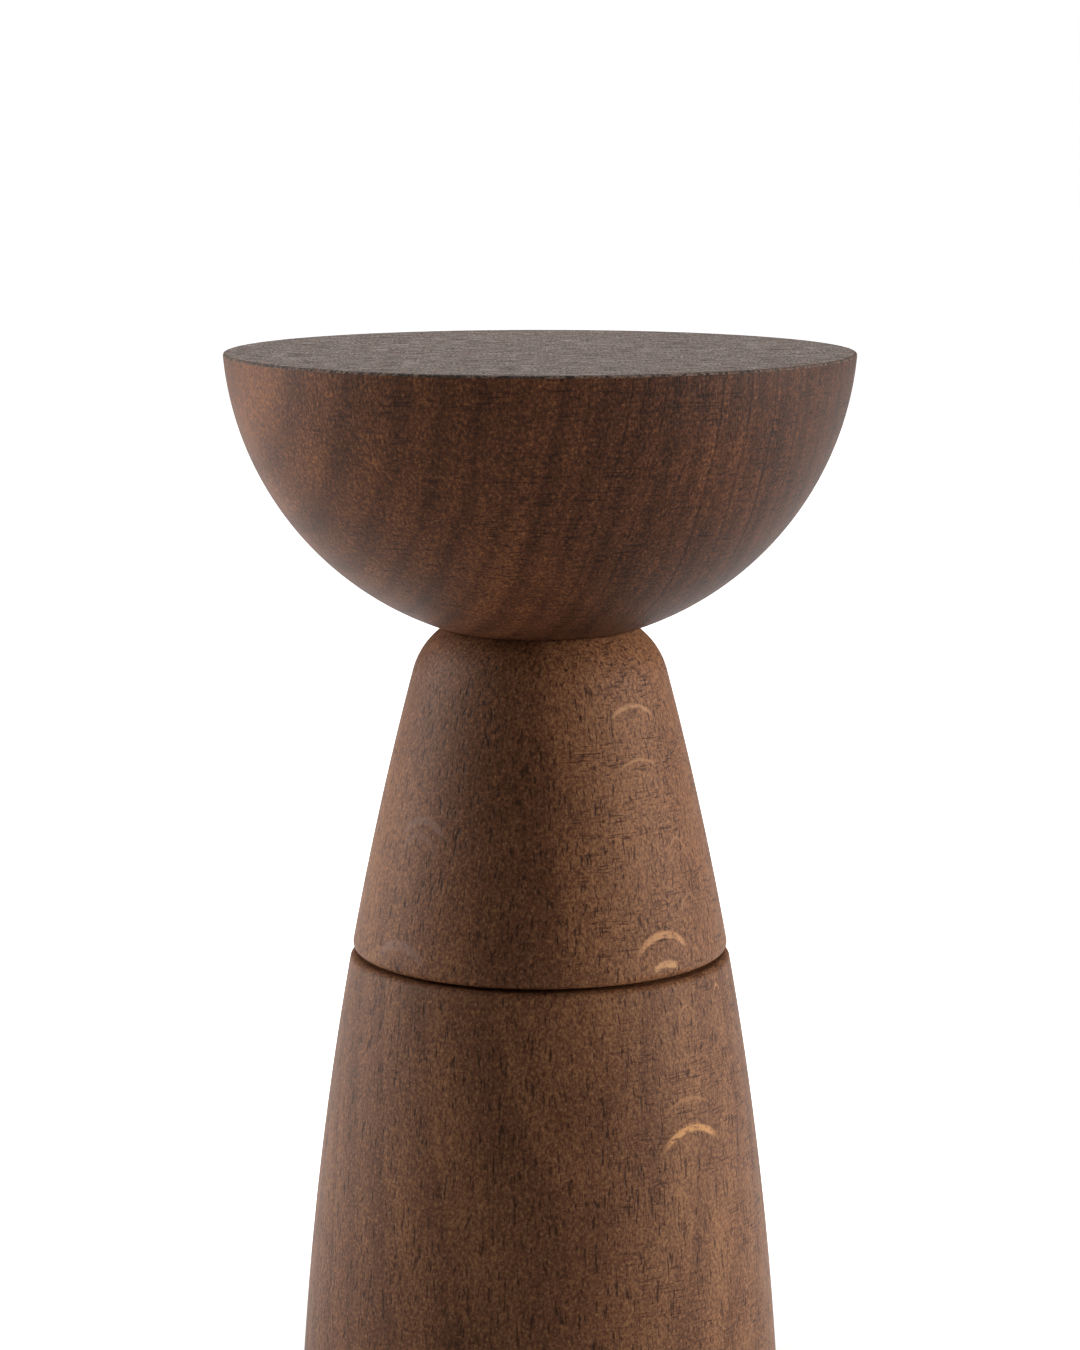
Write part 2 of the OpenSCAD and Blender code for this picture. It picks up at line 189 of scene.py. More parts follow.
# Painted sweep: matt white, with the faint unevenness of a rolled coat. Behind the mill
# and far around it, the paint is lit until it burns out to white; to the eye, it fades to
# white evenly all around the mill.
white_out = 1.05                 # glow at which the paint burns out
sweep_paint = unpainted("matt white sweep paint")
tree = sweep_paint.node_tree
place = node(tree, "ShaderNodeTexCoord").outputs["Object"]
patches = node(tree, "ShaderNodeTexNoise", place, 9.0, 3.0)
tint = node(tree, "ShaderNodeMix", patches, linear("#cfcfcd"), linear("#d9d9d8"), data_type="RGBA")
back = node(tree, "ShaderNodeSeparateXYZ", place).outputs["Y"]
away = node(tree, "ShaderNodeVectorMath", place, operation="LENGTH")
behind, far, fading = [
    node(tree, "ShaderNodeMapRange", distance, start, end, 0.0, white_out,
         interpolation_type="SMOOTHSTEP")
    for distance, start, end in ((back, 0.0, 0.12), (away, 0.4, 1.2), (away, 0.04, 0.19))]
lit = node(tree, "ShaderNodeMath", behind, far, operation="MAXIMUM")
seen = node(tree, "ShaderNodeLightPath").outputs["Is Camera Ray"]
glow = node(tree, "ShaderNodeMix", seen, lit, fading)
paint = node(tree, "ShaderNodeBsdfPrincipled", Base_Color=tint, Roughness=0.85,
             Emission_Color=linear("#ffffff"), Emission_Strength=glow)
node(tree, "ShaderNodeOutputMaterial", paint)
sweep_level = -0.05              # just under the foot
sweep = lathe("sweep", [(reach, sweep_level) for reach in (0, 60, 200, 1000, 3000)], 96,
              [sweep_paint])

# ---------------------------------------------------------------------------
# Mill body. One billet of smoked beech, grain upright, turned to a long bell
# curve, bored through for the spice and counterbored from below for the
# grinder, then sanded and wiped with a thin matt oil.
# ---------------------------------------------------------------------------

flank_radius = 398               # the long arc of body and cone
belly_height = 4.8
body_radius = 26.65
seam_height = 75.7
lip = 0.8                        # rounding at the parting line
foot_round = 1.2
chamber_radius = 13
pocket_radius = 21
pocket_depth = 30
chamfer = 0.5                    # at the mouth of the chamber and the end of the spigot
pocket_chamfer = 0.4
foot_face = 23                   # middle of the flat face that the mill stands on
seam_face = 16                   # middle of the flat faces that meet at the parting line
steps_around = 320
flank_middle = Vector((body_radius - flank_radius, belly_height))


def arc(middle, radius, start, end, count):
    """Points along an arc, from one angle to another, in degrees."""
    turns = [radians(start + (end - start) * i / count) for i in range(count + 1)]
    return [(middle[0] + radius * cos(t), middle[1] + radius * sin(t)) for t in turns]


def touching(height, radius):
    """Middle of a circle that touches the flank from inside at about this height, and the
    direction, in degrees, in which it touches."""
    reach = flank_radius - radius
    middle = Vector((flank_middle.x + sqrt(reach ** 2 - (height - flank_middle.y) ** 2), height))
    return middle, degrees(atan2(height - flank_middle.y, middle.x - flank_middle.x))


def smoked_beech(name, tones, ring_turn, pith, ring_gap, lean=0.0, bands=0.2, lines=0.1,
                 line_side=-1.0, fade=0.08, ticks=0.3, hairs=0.3, hair_side=-1.0,
                 side_tone=(-1, 1, 0.0), arches=(), seed=0, matt=0.55, speckle=2.1):
    """Beech has no open pores to speak of. Its growth rings are soft bands that end in a thin
    darker line; its rays are short dark ticks along the grain, and where the face cuts them
    lengthwise some show as pale hooked flecks. Turning leaves fine hair lines around the
    piece. Smoking darkens it all to a warm brown. ring_turn is the direction of the rings
    about Z in degrees, and pith, ring_gap and the arches are in millimetres and degrees.
    side_tone darkens the wood between two places across the piece, from -1 left to 1 right; with an
    amount below 0 it lightens it."""
    made = unpainted(name)
    tree = made.node_tree
    maths, vectors, steps = "ShaderNodeMath", "ShaderNodeVectorMath", "ShaderNodeMapRange"

    # Millimetres, with X out from the pith, Y along the rings and Z along the grain. A slow
    # drift keeps the rings from running true.
    metres = node(tree, "ShaderNodeTexCoord").outputs["Object"]
    place = node(tree, vectors, metres, [1 / MM] * 3, operation="MULTIPLY")
    grain = node(tree, "ShaderNodeMapping", place, Location=(pith, 0, seed * 37.0),
                 Rotation=(0, 0, radians(-ring_turn)))
    slow = node(tree, vectors, grain, (1 / 20, 1 / 20, 1 / 71.43), operation="MULTIPLY")
    drift = node(tree, "ShaderNodeTexNoise", slow, 1.0, 1.0).outputs["Color"]
    shift = node(tree, vectors, drift, (0.5, 0.5, 0.5), operation="SUBTRACT")
    shift = node(tree, vectors, shift, (4.5, 4.5, 2.0), operation="MULTIPLY")
    grown = node(tree, vectors, shift, grain, operation="ADD")
    out, along, up = node(tree, "ShaderNodeSeparateXYZ", grown).outputs
    level = node(tree, "ShaderNodeCombineXYZ", out, along, 0.0)
    girth = node(tree, vectors, level, operation="LENGTH")
    girth = node(tree, maths, up, lean, girth, operation="MULTIPLY_ADD")
    growth = node(tree, maths, girth, ring_gap, operation="DIVIDE")
    season = node(tree, maths, growth, operation="FRACT")
    year = node(tree, maths, growth, operation="FLOOR")
    luck = node(tree, "ShaderNodeTexWhiteNoise", year, noise_dimensions="1D")

    # Marks of the lathe run around the piece, so they follow the direction from its axis.
    x, y, z = node(tree, "ShaderNodeSeparateXYZ", place).outputs
    flat = node(tree, vectors, place, (1, 1, 0), operation="MULTIPLY")
    reach = node(tree, vectors, flat, operation="LENGTH")
    around = node(tree, vectors, flat, operation="NORMALIZE")
    side = node(tree, "ShaderNodeSeparateXYZ", around).outputs["X"]
    wound = node(tree, vectors, around, (9, 9, 0), operation="MULTIPLY")
    cuts = node(tree, vectors, place, (1 / 20, 1 / 20, 1 / 0.1613), operation="MULTIPLY")
    turned = node(tree, vectors, wound, cuts, operation="ADD")

    # Noise, with the millimetres its spots measure across and up the piece. The grit of the
    # sanded fibres and the painted glints of light on them are far finer on real beech, and are
    # drawn as coarse as they need to be to show.
    noise = {}
    for mark, where, across, upward, detail, rough in (
            ("cut", turned, 1, 1, 2.0, 0.55), ("patch", place, 6.25, 4.545, 2.0, 0.5),
            ("tick", grown, 0.3448, 2.381, 1.5, 0.5), ("fibre", grown, 0.5882, 10, 4.0, 0.6),
            ("mottle", grown, 9.091, 20, 3.0, 0.55), ("grit", place, 0.2941, 0.3846, 3.0, 0.75),
            ("painted_glint", place, 0.2, 0.2778, 1.0, 0.5), ("torn", place, 1.111, 0.4167, 3.0, 0.7)):
        spread = node(tree, vectors, where, (1 / across, 1 / across, 1 / upward),
                      operation="MULTIPLY")
        noise[mark] = node(tree, "ShaderNodeTexNoise", spread, 1.0, detail, rough)

    # Each mark is where all its parts are: a value, where it starts and where it is full.
    marks = {}
    for mark, parts in {
            "band": [(season, 0.25, 0.85), (season, 1.0, 1.0 - fade)],
            "line": [(season, 0.02, 0.09), (season, 0.17, 0.10),
                     (side, line_side, line_side + 0.4)],
            "hair": [(noise["cut"], 0.56, 0.65), (noise["patch"], 0.40, 0.56),
                     (side, hair_side, hair_side + 0.5)],
            "side_tone": [(side, side_tone[0], side_tone[1])],
            "painted_glint": [(noise["painted_glint"], 0.62, 0.72)],
            "tick": [(noise["tick"], 0.59, 0.68)],
            "worn": [(noise["torn"], 0.28, 0.5)]}.items():
        for value, start, full in parts:
            part = node(tree, steps, value, start, full, interpolation_type="SMOOTHSTEP")
            marks[mark] = (node(tree, maths, marks[mark], part, operation="MULTIPLY")
                           if mark in marks else part)
    line = node(tree, maths, marks["line"], luck, operation="MULTIPLY")

    # The shade runs from dark through middle to light; noise pulls it both ways alike,
    # and the painted glints of light only lighten it.
    shade = 0.5 + bands / 3 - (bands / 2 + 0.35 + 0.5 + speckle) / 2
    for mark, share in ((marks["band"], -bands), (line, -lines), (luck, bands / 2),
                        (noise["fibre"], 0.35), (noise["mottle"], 0.5), (noise["grit"], speckle),
                        (marks["side_tone"], -side_tone[2]), (marks["painted_glint"], speckle * 0.12),
                        (marks["tick"], -ticks), (marks["hair"], -hairs)):
        shade = node(tree, maths, mark, share, shade, operation="MULTIPLY_ADD")
    colour = node(tree, "ShaderNodeValToRGB", shade)
    dark, light = colour.color_ramp.elements
    dark.color, light.color = linear(tones[0]), linear(tones[2])
    colour.color_ramp.elements.new(0.5).color = linear(tones[1])

    # Hooked ray flecks: (azimuth, height, half width, sag, thickness, strength, colour).
    front = node(tree, maths, y, -1.0, operation="MULTIPLY")
    angle = node(tree, maths, x, front, operation="ARCTAN2")
    for azimuth, height, half, sag, thick, strength, pale in arches:
        turn = node(tree, maths, angle, radians(azimuth), operation="SUBTRACT")
        across = node(tree, maths, turn, reach, operation="MULTIPLY")
        share = node(tree, maths, across, half, operation="DIVIDE")
        squared = node(tree, maths, share, share, operation="MULTIPLY")
        line = node(tree, maths, z, height + thick * 0.8, operation="SUBTRACT")
        line = node(tree, maths, squared, sag, line, operation="MULTIPLY_ADD")
        line = node(tree, maths, noise["torn"], thick * 1.6, line, operation="MULTIPLY_ADD")
        fleck = node(tree, maths, marks["worn"], strength, operation="MULTIPLY")
        for value, outside, inside in ((line, thick, thick * 0.35), (share, 1.0, 0.6)):
            beside = node(tree, maths, value, operation="ABSOLUTE")
            part = node(tree, steps, beside, outside, inside, interpolation_type="SMOOTHSTEP")
            fleck = node(tree, maths, fleck, part, operation="MULTIPLY")
        colour = node(tree, "ShaderNodeMix", fleck, colour, linear(pale), data_type="RGBA")

    rough = node(tree, maths, noise["grit"], 0.25, matt - 0.125, operation="MULTIPLY_ADD")
    relief = noise["grit"]
    for mark, share in ((marks["tick"], -0.5), (marks["hair"], -0.4), (noise["fibre"], 0.5)):
        relief = node(tree, maths, mark, share, relief, operation="MULTIPLY_ADD")
    bump = node(tree, "ShaderNodeBump", Height=relief, Strength=0.5, Distance=0.1 * MM)
    wood = node(tree, "ShaderNodeBsdfPrincipled", Base_Color=colour, Roughness=rough, IOR=1.45,
                Specular_IOR_Level=0.16, Normal=bump)
    node(tree, "ShaderNodeOutputMaterial", wood)
    return made


# A thin matt oil over sanded beech: warm brown, soft to the light, with no clear reflection.
# Drawn a little lighter towards the right.
body_wood = smoked_beech(
    "smoked beech, turned and oiled, body", ("#38200f", "#68422c", "#966a47"),
    ring_turn=-84, pith=60, ring_gap=3.4, lean=0.2, bands=0.12, lines=0.12, ticks=0.42,
    hairs=0.42, hair_side=0.1, side_tone=(0, 0.7, -0.12), seed=1, arches=(
        (44, 60.5, 4.4, 2.0, 0.5, 0.85, "#c9935f"), (44, 63.6, 3.6, 1.4, 0.25, 0.45, "#a87850"),
        (64, 74.0, 1.0, 1.6, 0.25, 0.6, "#b98257"), (67, 66.0, 0.9, 2.0, 0.22, 0.5, "#b98257"),
        (47, 73.0, 1.1, 1.0, 0.25, 0.5, "#a87850")))

foot_middle, foot_touch = touching(foot_round, foot_round)
lip_middle, lip_touch = touching(seam_height - lip, lip)
flank_start = degrees(asin((foot_round + foot_round * sin(radians(foot_touch)) - belly_height)
                           / flank_radius))
flank_end = degrees(asin((seam_height - lip + lip * sin(radians(lip_touch)) - belly_height)
                         / flank_radius))
# The points inside a straight wall keep its faces short.
body_profile = (
    [(pocket_radius + pocket_chamfer, 0), (foot_face, 0)]
    + arc(foot_middle, foot_round, -90, foot_touch, 10)
    + arc(flank_middle, flank_radius, flank_start, flank_end, 64)[1:]
    + arc(lip_middle, lip, lip_touch, 90, 10)[1:]
    + [(seam_face, seam_height), (chamber_radius + chamfer, seam_height),
       (chamber_radius, seam_height - chamfer), (chamber_radius, 2 * pocket_depth),
       (chamber_radius, 1.5 * pocket_depth), (chamber_radius, pocket_depth),
       (pocket_radius, pocket_depth), (pocket_radius, pocket_depth / 2),
       (pocket_radius, pocket_chamfer)])
mill_body = lathe("turned_mill_body", body_profile, steps_around, [body_wood])
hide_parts("mill_body")
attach(mill_body, "body")

# ---------------------------------------------------------------------------
# Head cone. A second piece of the same beech, turned together with the body so
# that the bell curve runs on across the parting line. A spigot under it centres
# the head in the chamber; its shoulder rolls over to a narrow neck.
# ---------------------------------------------------------------------------

seam_gap = 0.3
neck_radius = 10.2
neck_height = 110.8
shoulder_round = 8.1
spigot_radius = 12.7
spigot_bottom = 66.7
groove_low, groove_high = 70.2, 72.5
groove_radius = 12               # the grip ring's groove, with rounded corners
groove_floor = 11.85
groove_round = 0.25
socket_hole = 7.1
socket_hole_top = 84.7
dowel_hole = 5.05
dowel_half = 14
neck_face = 8                    # middle of the flat faces that are glued at the neck

cone_foot = seam_height + seam_gap
lip_middle, lip_touch = touching(cone_foot + lip, lip)
neck = Vector((neck_radius, neck_height))
# The shoulder's circle touches the flank from inside and passes through the neck.
span = (neck - flank_middle).length
toward = (neck - flank_middle) / span
share = ((flank_radius - shoulder_round) ** 2 - shoulder_round ** 2 + span ** 2) / (2 * span)
drop = sqrt((flank_radius - shoulder_round) ** 2 - share ** 2)
shoulder_middle = flank_middle + toward * share + Vector((toward.y, -toward.x)) * drop
shoulder_touch = degrees(atan2(*reversed(shoulder_middle - flank_middle)))
shoulder_top = degrees(atan2(*reversed(neck - shoulder_middle)))
flank_start = degrees(asin((cone_foot + lip + lip * sin(radians(lip_touch)) - belly_height)
                           / flank_radius))
cone_profile = (
    [(0, socket_hole_top), (socket_hole, socket_hole_top),
     (socket_hole, (socket_hole_top + spigot_bottom) / 2), (socket_hole, spigot_bottom),
     (spigot_radius - chamfer, spigot_bottom), (spigot_radius, spigot_bottom + chamfer),
     (spigot_radius, groove_low),
     (groove_radius, groove_low + groove_round), (groove_floor, (groove_low + groove_high) / 2),
     (groove_radius, groove_high - groove_round), (spigot_radius, groove_high),
     (spigot_radius, cone_foot), (seam_face, cone_foot)]
    + arc(lip_middle, lip, -90, lip_touch, 10)
    + arc(flank_middle, flank_radius, flank_start, shoulder_touch, 30)[1:]
    + arc(shoulder_middle, shoulder_round, shoulder_touch, shoulder_top, 24)[1:]
    + [(neck_face, neck_height), (dowel_hole, neck_height), (dowel_hole, neck_height - dowel_half),
       (0, neck_height - dowel_half)])
# The same oiled wood, cut where one broad ring darkens its left half.
# Drawn a little lighter towards the right.
cone_wood = smoked_beech(
    "smoked beech, turned and oiled, cone", ("#371f0f", "#67412b", "#986a47"),
    ring_turn=4, pith=71, ring_gap=32.0, lean=0.131, bands=0.19, lines=0.0, ticks=0.42,
    hairs=0.5, hair_side=-0.1, side_tone=(0, 0.6, -0.09), fade=0.07, seed=2, arches=(
        (42, 104.0, 3.4, 1.5, 0.32, 0.65, "#b88a62"), (41, 98.5, 2.7, 0.9, 0.25, 0.55, "#b4855c"),
        (41, 80.7, 3.9, 2.2, 0.55, 0.8, "#c28e62"), (41, 77.6, 1.9, 0.5, 0.5, 0.75, "#cb996a"),
        (54, 90.0, 2.0, 2.6, 0.3, 0.45, "#a97c57"), (56, 84.0, 2.2, 2.2, 0.25, 0.4, "#a97c57"),
        (-45, 92.2, 3.6, 2.2, 0.6, 0.35, "#8a6f66"), (-48, 79.2, 4.2, 2.0, 0.7, 0.35, "#8a6f66"),
        (-46, 90.6, 3.2, 2.4, 0.5, 0.2, "#8a6f66")))
head_cone = lathe("turned_head_cone", cone_profile, steps_around, [cone_wood])
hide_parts("head_cone")
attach(head_cone, "head")

# ---------------------------------------------------------------------------
# Head ball. Turned as a whole ball from a darker, redder billet and sawn off
# flat just under its middle; the flat top is left as sawn end grain, drawn
# darker at its rounded rim. A dowel glued into both pieces holds it on the cone.
# ---------------------------------------------------------------------------

ball_radius = 33.3
top_drop = 2.5
rim_round = 0.25
top_rings = 40

ball_height = neck_height + sqrt(ball_radius ** 2 - neck_radius ** 2)
top_height = ball_height - top_drop
rim_level = top_height - rim_round
rim_middle = Vector((sqrt((ball_radius - rim_round) ** 2 - (rim_level - ball_height) ** 2),
                     rim_level))
ball_middle = Vector((0, ball_height))
ball_start = degrees(atan2(neck_height - ball_height, neck_radius))
rim_touch = degrees(atan2(rim_level - ball_height, rim_middle.x))
top_radius = rim_middle.x
ball_profile = (
    [(0, neck_height + dowel_half), (dowel_hole, neck_height + dowel_half),
     (dowel_hole, neck_height), (neck_face, neck_height)]
    + arc(ball_middle, ball_radius, ball_start, rim_touch, 90)
    + arc(rim_middle, rim_round, rim_touch, 90, 6)[1:]
    + [(top_radius * (1 - i / top_rings), top_height) for i in range(1, top_rings)]
    + [(0, top_height)])
# A redder billet with many rings, drawn darker from the middle to the right, with thin lines to the
# right.
ball_wood = smoked_beech(
    "smoked beech, turned and oiled, head", ("#2a160c", "#593522", "#945f3b"),
    ring_turn=195, pith=115, ring_gap=3.4, bands=0.17, lines=0.40, line_side=-0.1, fade=0.35,
    ticks=0.06, hairs=0.30, side_tone=(-0.4, 0.7, 0.24), seed=3, speckle=2.0)


def sawn_end_grain(name, dark, middle, light):
    """End grain as the saw left it: straight marks along X, dusty fibre ends, a few redder
    spots where the stain sat, and a roughness that catches the light."""
    made = unpainted(name)
    tree = made.node_tree
    metres = node(tree, "ShaderNodeTexCoord").outputs["Object"]
    # Millimetres that each mark measures; the saw's marks are the same at every height.
    noise = []
    for size, detail, rough in (
            ((10, 0.6667, inf), 4.0, 0.65), ((2, 0.25, inf), 2.0, 0.6),
            ((0.3125, 0.3125, 0.3125), 4.0, 0.8), ((2.857, 1.111, inf), 3.0, 0.6)):
        place = node(tree, "ShaderNodeVectorMath", metres, [1 / MM / k for k in size],
                     operation="MULTIPLY")
        noise.append(node(tree, "ShaderNodeTexNoise", place, 1.0, detail, rough))
    saw, scratches, dust, blots = noise
    shade = 0.5 - (1.4 + 2.8 + 5.0) / 2
    for mark, share in ((saw, 1.4), (scratches, 2.8), (dust, 5.0)):
        shade = node(tree, "ShaderNodeMath", mark, share, shade, operation="MULTIPLY_ADD")
    ramp = node(tree, "ShaderNodeValToRGB", shade)
    darkest, lightest = ramp.color_ramp.elements
    darkest.position, darkest.color = 0.15, linear(dark)
    lightest.position, lightest.color = 0.85, linear(light)
    ramp.color_ramp.elements.new(0.5).color = linear(middle)
    red = node(tree, "ShaderNodeMapRange", blots, 0.56, 0.68, 0.0, 0.6)
    colour = node(tree, "ShaderNodeMix", red, ramp, linear("#6f4231"), data_type="RGBA")
    relief = node(tree, "ShaderNodeMath", scratches, 0.8, dust, operation="MULTIPLY_ADD")
    bump = node(tree, "ShaderNodeBump", Height=relief, Strength=0.8, Distance=0.2 * MM)
    wood = node(tree, "ShaderNodeBsdfPrincipled", Base_Color=colour, Roughness=0.75,
                Specular_IOR_Level=0.4, Normal=bump)
    node(tree, "ShaderNodeOutputMaterial", wood)
    return made


# Sawn across the grain, it holds hardly any oil: its light grey is partly the end grain's
# own colour and partly a painted sheen of grazing light.
top_wood_and_painted_sheen = sawn_end_grain("smoked beech, sawn end grain with painted sheen", "#2c1f19", "#66534a", "#b5a79e")
# The rounded rim is drawn in a darker end grain.
darker_rim_wood = sawn_end_grain("smoked beech, darker rim", "#1f1510", "#46332a", "#7b6353")
head_ball = lathe("turned_head_ball", ball_profile, steps_around, [ball_wood, top_wood_and_painted_sheen, darker_rim_wood],
                  faces=lambda r, z: 0 if z < rim_level else 1 if z > top_height - 0.001 else 2)
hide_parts("head_ball")
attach(head_ball, "head")

# ---------------------------------------------------------------------------
# Neck dowel. A fluteless beech dowel, bought ready made, glued into the ball
# and the cone; it stays the pale colour of the raw wood.
# ---------------------------------------------------------------------------


def dress(name, material):
    """Gives a CAD piece its material."""
    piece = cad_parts[name]
    piece.data.materials.clear()
    piece.data.materials.append(material)


# Raw beech: pale and dry, with small dark ticks.
dress("neck_dowel", smoked_beech(
    "raw beech dowel", ("#a98863", "#c8a97f", "#dcc29b"), ring_turn=40, pith=60, ring_gap=2.0,
    bands=0.15, lines=0.1, ticks=0.35, hairs=0.0, seed=4, matt=0.7, speckle=0.8))

# ---------------------------------------------------------------------------
# Grinder housing. A black injection-moulded cup that is pushed up into the
# foot; it carries the ceramic ring on a ledge and takes the three long screws.
# ---------------------------------------------------------------------------


def small_part(name, dark, light, rough, size, relief, metallic=0.0, stretch=(1, 1, 1),
               specks=None):
    """Finish of a small machined or moulded part. size is the grain of its surface and relief
    its depth, both in millimetres; stretch draws the grain out along an axis."""
    made = unpainted(name)
    tree = made.node_tree
    metres = node(tree, "ShaderNodeTexCoord").outputs["Object"]
    place = node(tree, "ShaderNodeVectorMath", metres, [1 / MM / size / k for k in stretch],
                 operation="MULTIPLY")
    fine = node(tree, "ShaderNodeTexNoise", place, 1.0, 4.0, 0.6)
    cloudy = node(tree, "ShaderNodeTexNoise", place, 0.08, 2.0)
    mixed = node(tree, "ShaderNodeMix", 0.5, fine, cloudy)
    share = node(tree, "ShaderNodeMapRange", mixed, 0.3, 0.7)
    colour = node(tree, "ShaderNodeMix", share, linear(dark), linear(light), data_type="RGBA")
    if specks:
        spots = node(tree, "ShaderNodeTexVoronoi", place, 0.35)
        few = node(tree, "ShaderNodeMapRange", spots, 0.16, 0.08)
        colour = node(tree, "ShaderNodeMix", few, colour, linear(specks), data_type="RGBA")
    patchy = node(tree, "ShaderNodeMapRange", cloudy, 0.3, 0.7, rough - 0.08, rough + 0.08)
    bump = node(tree, "ShaderNodeBump", Height=fine, Strength=0.6, Distance=relief * MM)
    finish = node(tree, "ShaderNodeBsdfPrincipled", Base_Color=colour, Metallic=metallic,
                  Roughness=patchy, Normal=bump)
    node(tree, "ShaderNodeOutputMaterial", finish)
    return made


# The mould's spark-eroded grain gives an even, dry black with a broad, weak shine.
black_nylon = small_part("black glass-filled nylon, spark-eroded grain", "#151413", "#24211f",
                         rough=0.48, size=0.45, relief=0.03)
dress("grinder_housing", black_nylon)

# ---------------------------------------------------------------------------
# Bearing bridge. A second moulding in the same black nylon, over the grinder:
# its skirt holds the ceramic ring down and its three spokes carry the bush.
# ---------------------------------------------------------------------------

dress("bearing_bridge", black_nylon)

# ---------------------------------------------------------------------------
# Bearing bush. Sintered bronze, pressed into the bridge; the pores hold oil.
# ---------------------------------------------------------------------------

# Pressed powder metal: a warm yellow shine, broken by dark pores.
dress("bearing_bush", small_part(
    "oil-soaked sintered bronze", "#7b5a33", "#b48a54", rough=0.42, size=0.25, relief=0.02,
    metallic=1.0, specks="#3c2c1b"))

# ---------------------------------------------------------------------------
# Grinding ring and rotor. Pressed and fired alumina, cream and slightly
# speckled; the teeth are as fired, with a dry, fine-grained face.
# ---------------------------------------------------------------------------

# Fired but not glazed: chalky and cream-white, with fine darker specks.
ceramic = small_part("fired alumina, unglazed", "#cdc3b1", "#e6dfd0", rough=0.58, size=0.3,
                     relief=0.025, specks="#a1927a")
dress("grinding_ring", ceramic)
dress("grinding_rotor", ceramic)

# ---------------------------------------------------------------------------
# Rotor hub. Natural acetal, moulded; it slides on the square shaft and carries
# the ceramic rotor on its flange.
# ---------------------------------------------------------------------------

# Unpigmented acetal: milky ivory, smooth, with a soft shine.
acetal = small_part("natural acetal, moulded", "#d6d0c0", "#e9e5d9", rough=0.38, size=0.8,
                    relief=0.012)
dress("rotor_hub", acetal)

# ---------------------------------------------------------------------------
# Adjusting wheel. The same acetal, with finger grooves around it and a thread
# on the shaft; turning it by hand under the foot lifts the rotor.
# ---------------------------------------------------------------------------

dress("adjusting_wheel", acetal)

# ---------------------------------------------------------------------------
# Drive shaft. Square aluminium bar, drawn, so its fine lines run along it; the
# journal and the threaded end are turned on it.
# ---------------------------------------------------------------------------

# Drawing lines along the bar stretch its reflections.
dress("drive_shaft", small_part(
    "drawn aluminium bar", "#a9abae", "#c8cacc", rough=0.34, size=0.18, relief=0.01,
    metallic=1.0, stretch=(1, 1, 40)))

# ---------------------------------------------------------------------------
# Clips and washers. Stamped spring steel with a grey phosphate coat: one clip
# above the bush, one under the wheel, a washer on each side of the moving parts.
# ---------------------------------------------------------------------------

# Phosphate: a dark grey, fine-grained, dull metal.
phosphated = small_part("phosphated spring steel, stamped", "#5c5d5f", "#8b8d8f", rough=0.45,
                        size=0.2, relief=0.01, metallic=1.0)
for name in ("shaft_clip", "wheel_clip", "thrust_washer", "wheel_washer"):
    dress(name, phosphated)

# ---------------------------------------------------------------------------
# Screws. Zinc-plated pan heads with a straight slot: three long ones up through
# the grinder into the wood, three short ones for the socket in the head.
# ---------------------------------------------------------------------------

# Zinc plate: a light, bluish, clear shine.
zinc_plate = small_part("bright zinc-plated steel", "#a3a8ad", "#c6cacf", rough=0.27, size=0.5,
                        relief=0.008, metallic=1.0)
dress("housing_screws", zinc_plate)
dress("socket_screws", zinc_plate)

# ---------------------------------------------------------------------------
# Drive socket. Black nylon, split four ways at its upper end so that it can
# spring open over the square shaft; it turns the shaft and lets the head pull off.
# ---------------------------------------------------------------------------

dress("drive_socket", black_nylon)

# ---------------------------------------------------------------------------
# Clasp ring. A ring of round spring wire around the split end of the socket,
# which closes it on the shaft.
# ---------------------------------------------------------------------------

# Cold drawing leaves the wire smooth and rather bright, with a faint grain.
spring_wire = small_part("patented spring wire, cold drawn", "#77797c", "#a5a8ab", rough=0.3,
                         size=0.15, relief=0.008, metallic=1.0)
dress("clasp_ring", spring_wire)

# ---------------------------------------------------------------------------
# Grip ring. A black nitrile ring in the spigot's groove; it holds the head in
# the chamber with a light push fit.
# ---------------------------------------------------------------------------

# Nitrile rubber: matt black with hardly any shine.
dress("grip_ring", small_part(
    "black nitrile rubber, matt", "#141313", "#222120", rough=0.66, size=0.35, relief=0.02))

# ---------------------------------------------------------------------------
# Rotor spring. Coiled from the same spring wire, with its end turns closed so
# that they stand flat on the hub and under the washer.
# ---------------------------------------------------------------------------

spring_radius = 4.7
spring_wire_radius = 0.4
spring_low = 19.5
spring_high = 26.0
spring_turns = 5
closed_turns = 0.8
closed_climb = 0.55              # of the wire's thickness, for each closed turn
steps_a_turn = 48
wire_sides = 12

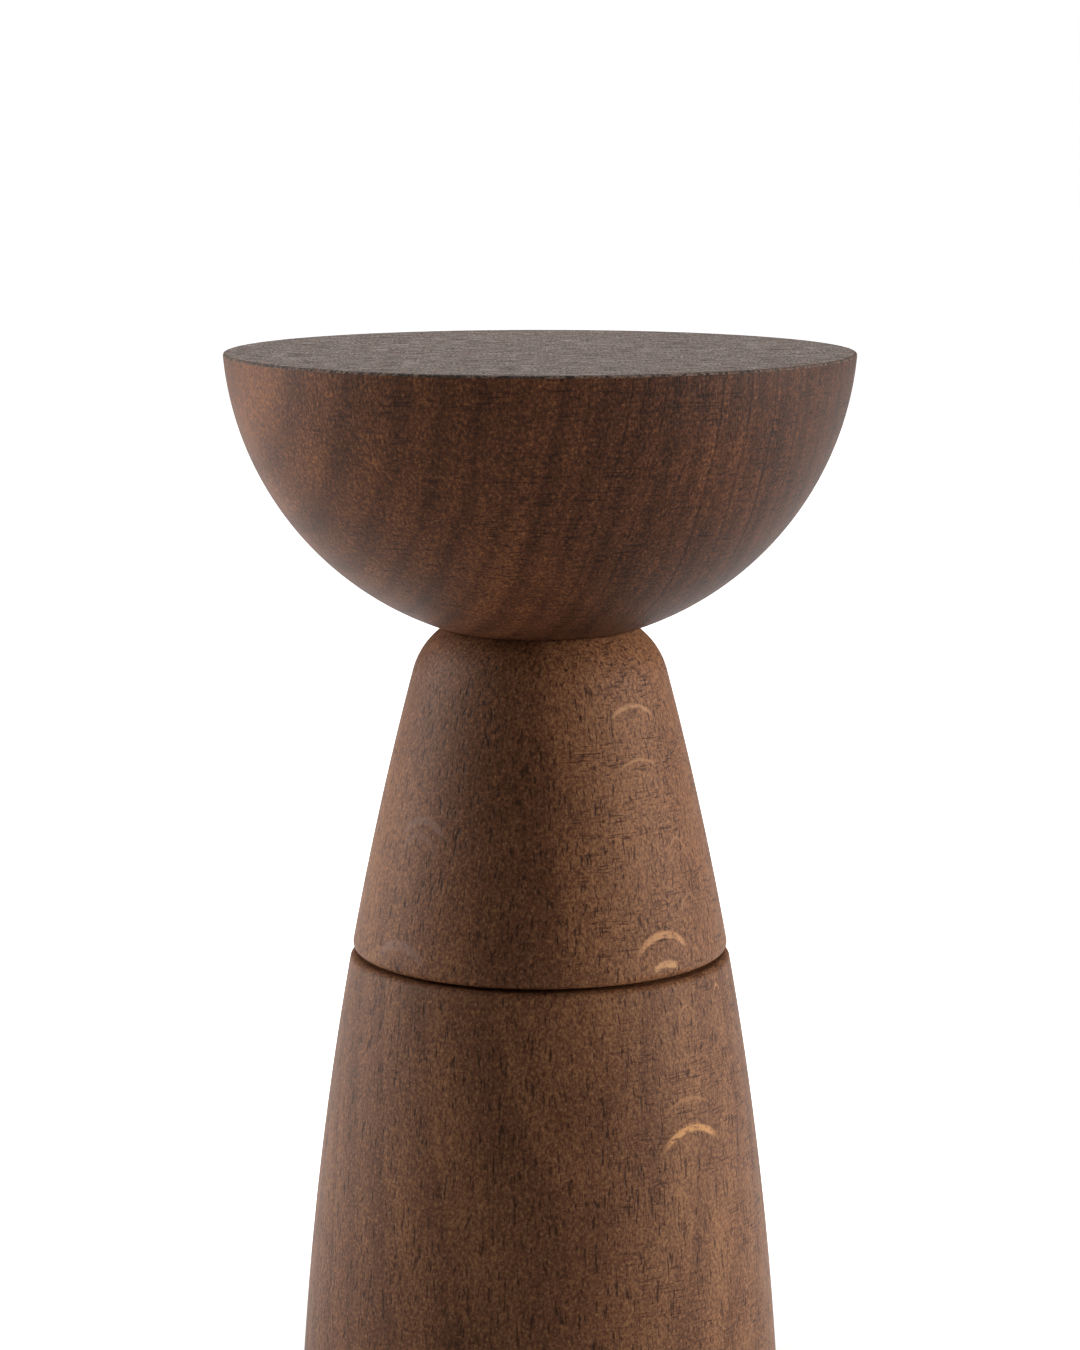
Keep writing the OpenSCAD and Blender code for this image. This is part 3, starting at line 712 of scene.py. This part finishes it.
closed_rise = closed_turns * closed_climb * 2 * spring_wire_radius
sizes = {
    "Coil Radius": spring_radius * MM, "Wire Radius": spring_wire_radius * MM,
    "First Height": (spring_low + spring_wire_radius) * MM, "Turns": spring_turns,
    "Closed Turns": closed_turns, "Closed Rise": closed_rise * MM,
    "Open Rise": (spring_high - spring_low - 2 * spring_wire_radius - 2 * closed_rise) * MM}
winding = bpy.data.node_groups.new("winding of a coil with closed ends", "GeometryNodeTree")
for name in sizes:
    winding.interface.new_socket(name=name, in_out="INPUT", socket_type="NodeSocketFloat")
winding.interface.new_socket(name="Coil", in_out="OUTPUT", socket_type="NodeSocketGeometry")
given = node(winding, "NodeGroupInput").outputs
helix = node(winding, "GeometryNodeCurveSpiral", steps_a_turn, given["Turns"],
             given["Coil Radius"], given["Coil Radius"], 0.0)
point = node(winding, "GeometryNodeInputIndex")
done = node(winding, "ShaderNodeMath", point, steps_a_turn, operation="DIVIDE")
closing = node(winding, "ShaderNodeMath", given["Turns"], given["Closed Turns"],
               operation="SUBTRACT")
height = given["First Height"]
for start, end, rise in ((0.0, given["Closed Turns"], given["Closed Rise"]),
                         (given["Closed Turns"], closing, given["Open Rise"]),
                         (closing, given["Turns"], given["Closed Rise"])):
    climb = node(winding, "ShaderNodeMapRange", done, start, end, 0.0, rise)
    height = node(winding, "ShaderNodeMath", height, climb, operation="ADD")
raised = node(winding, "GeometryNodeSetPosition", helix,
              Offset=node(winding, "ShaderNodeCombineXYZ", 0.0, 0.0, height))
raised = node(winding, "GeometryNodeSetCurveNormal", raised, mode="Z_UP")
section = node(winding, "GeometryNodeCurvePrimitiveCircle", wire_sides, given["Wire Radius"])
wire = node(winding, "GeometryNodeCurveToMesh", raised, section, Fill_Caps=True)
wire = node(winding, "GeometryNodeSetShadeSmooth", wire, Shade_Smooth=True)
wire = node(winding, "GeometryNodeRealizeInstances", wire)
wire = node(winding, "GeometryNodeSetMaterial", wire, Material=spring_wire)
node(winding, "NodeGroupOutput", wire)

mandrel = bpy.data.objects.new("mandrel", bpy.data.meshes.new("mandrel"))
bpy.context.collection.objects.link(mandrel)
wound = mandrel.modifiers.new("winding", "NODES")
wound.node_group = winding
for socket in winding.interface.items_tree:
    if socket.in_out == "INPUT":
        wound[socket.identifier] = float(sizes[socket.name])
coiled = bpy.data.meshes.new_from_object(
    mandrel.evaluated_get(bpy.context.evaluated_depsgraph_get()))
bpy.data.objects.remove(mandrel)
mesh = bmesh.new()
mesh.from_mesh(coiled)
bpy.data.meshes.remove(coiled)
rotor_spring = finished("coiled_rotor_spring", mesh, [spring_wire])
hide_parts("rotor_spring")
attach(rotor_spring, "drive")
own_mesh(rotor_spring)
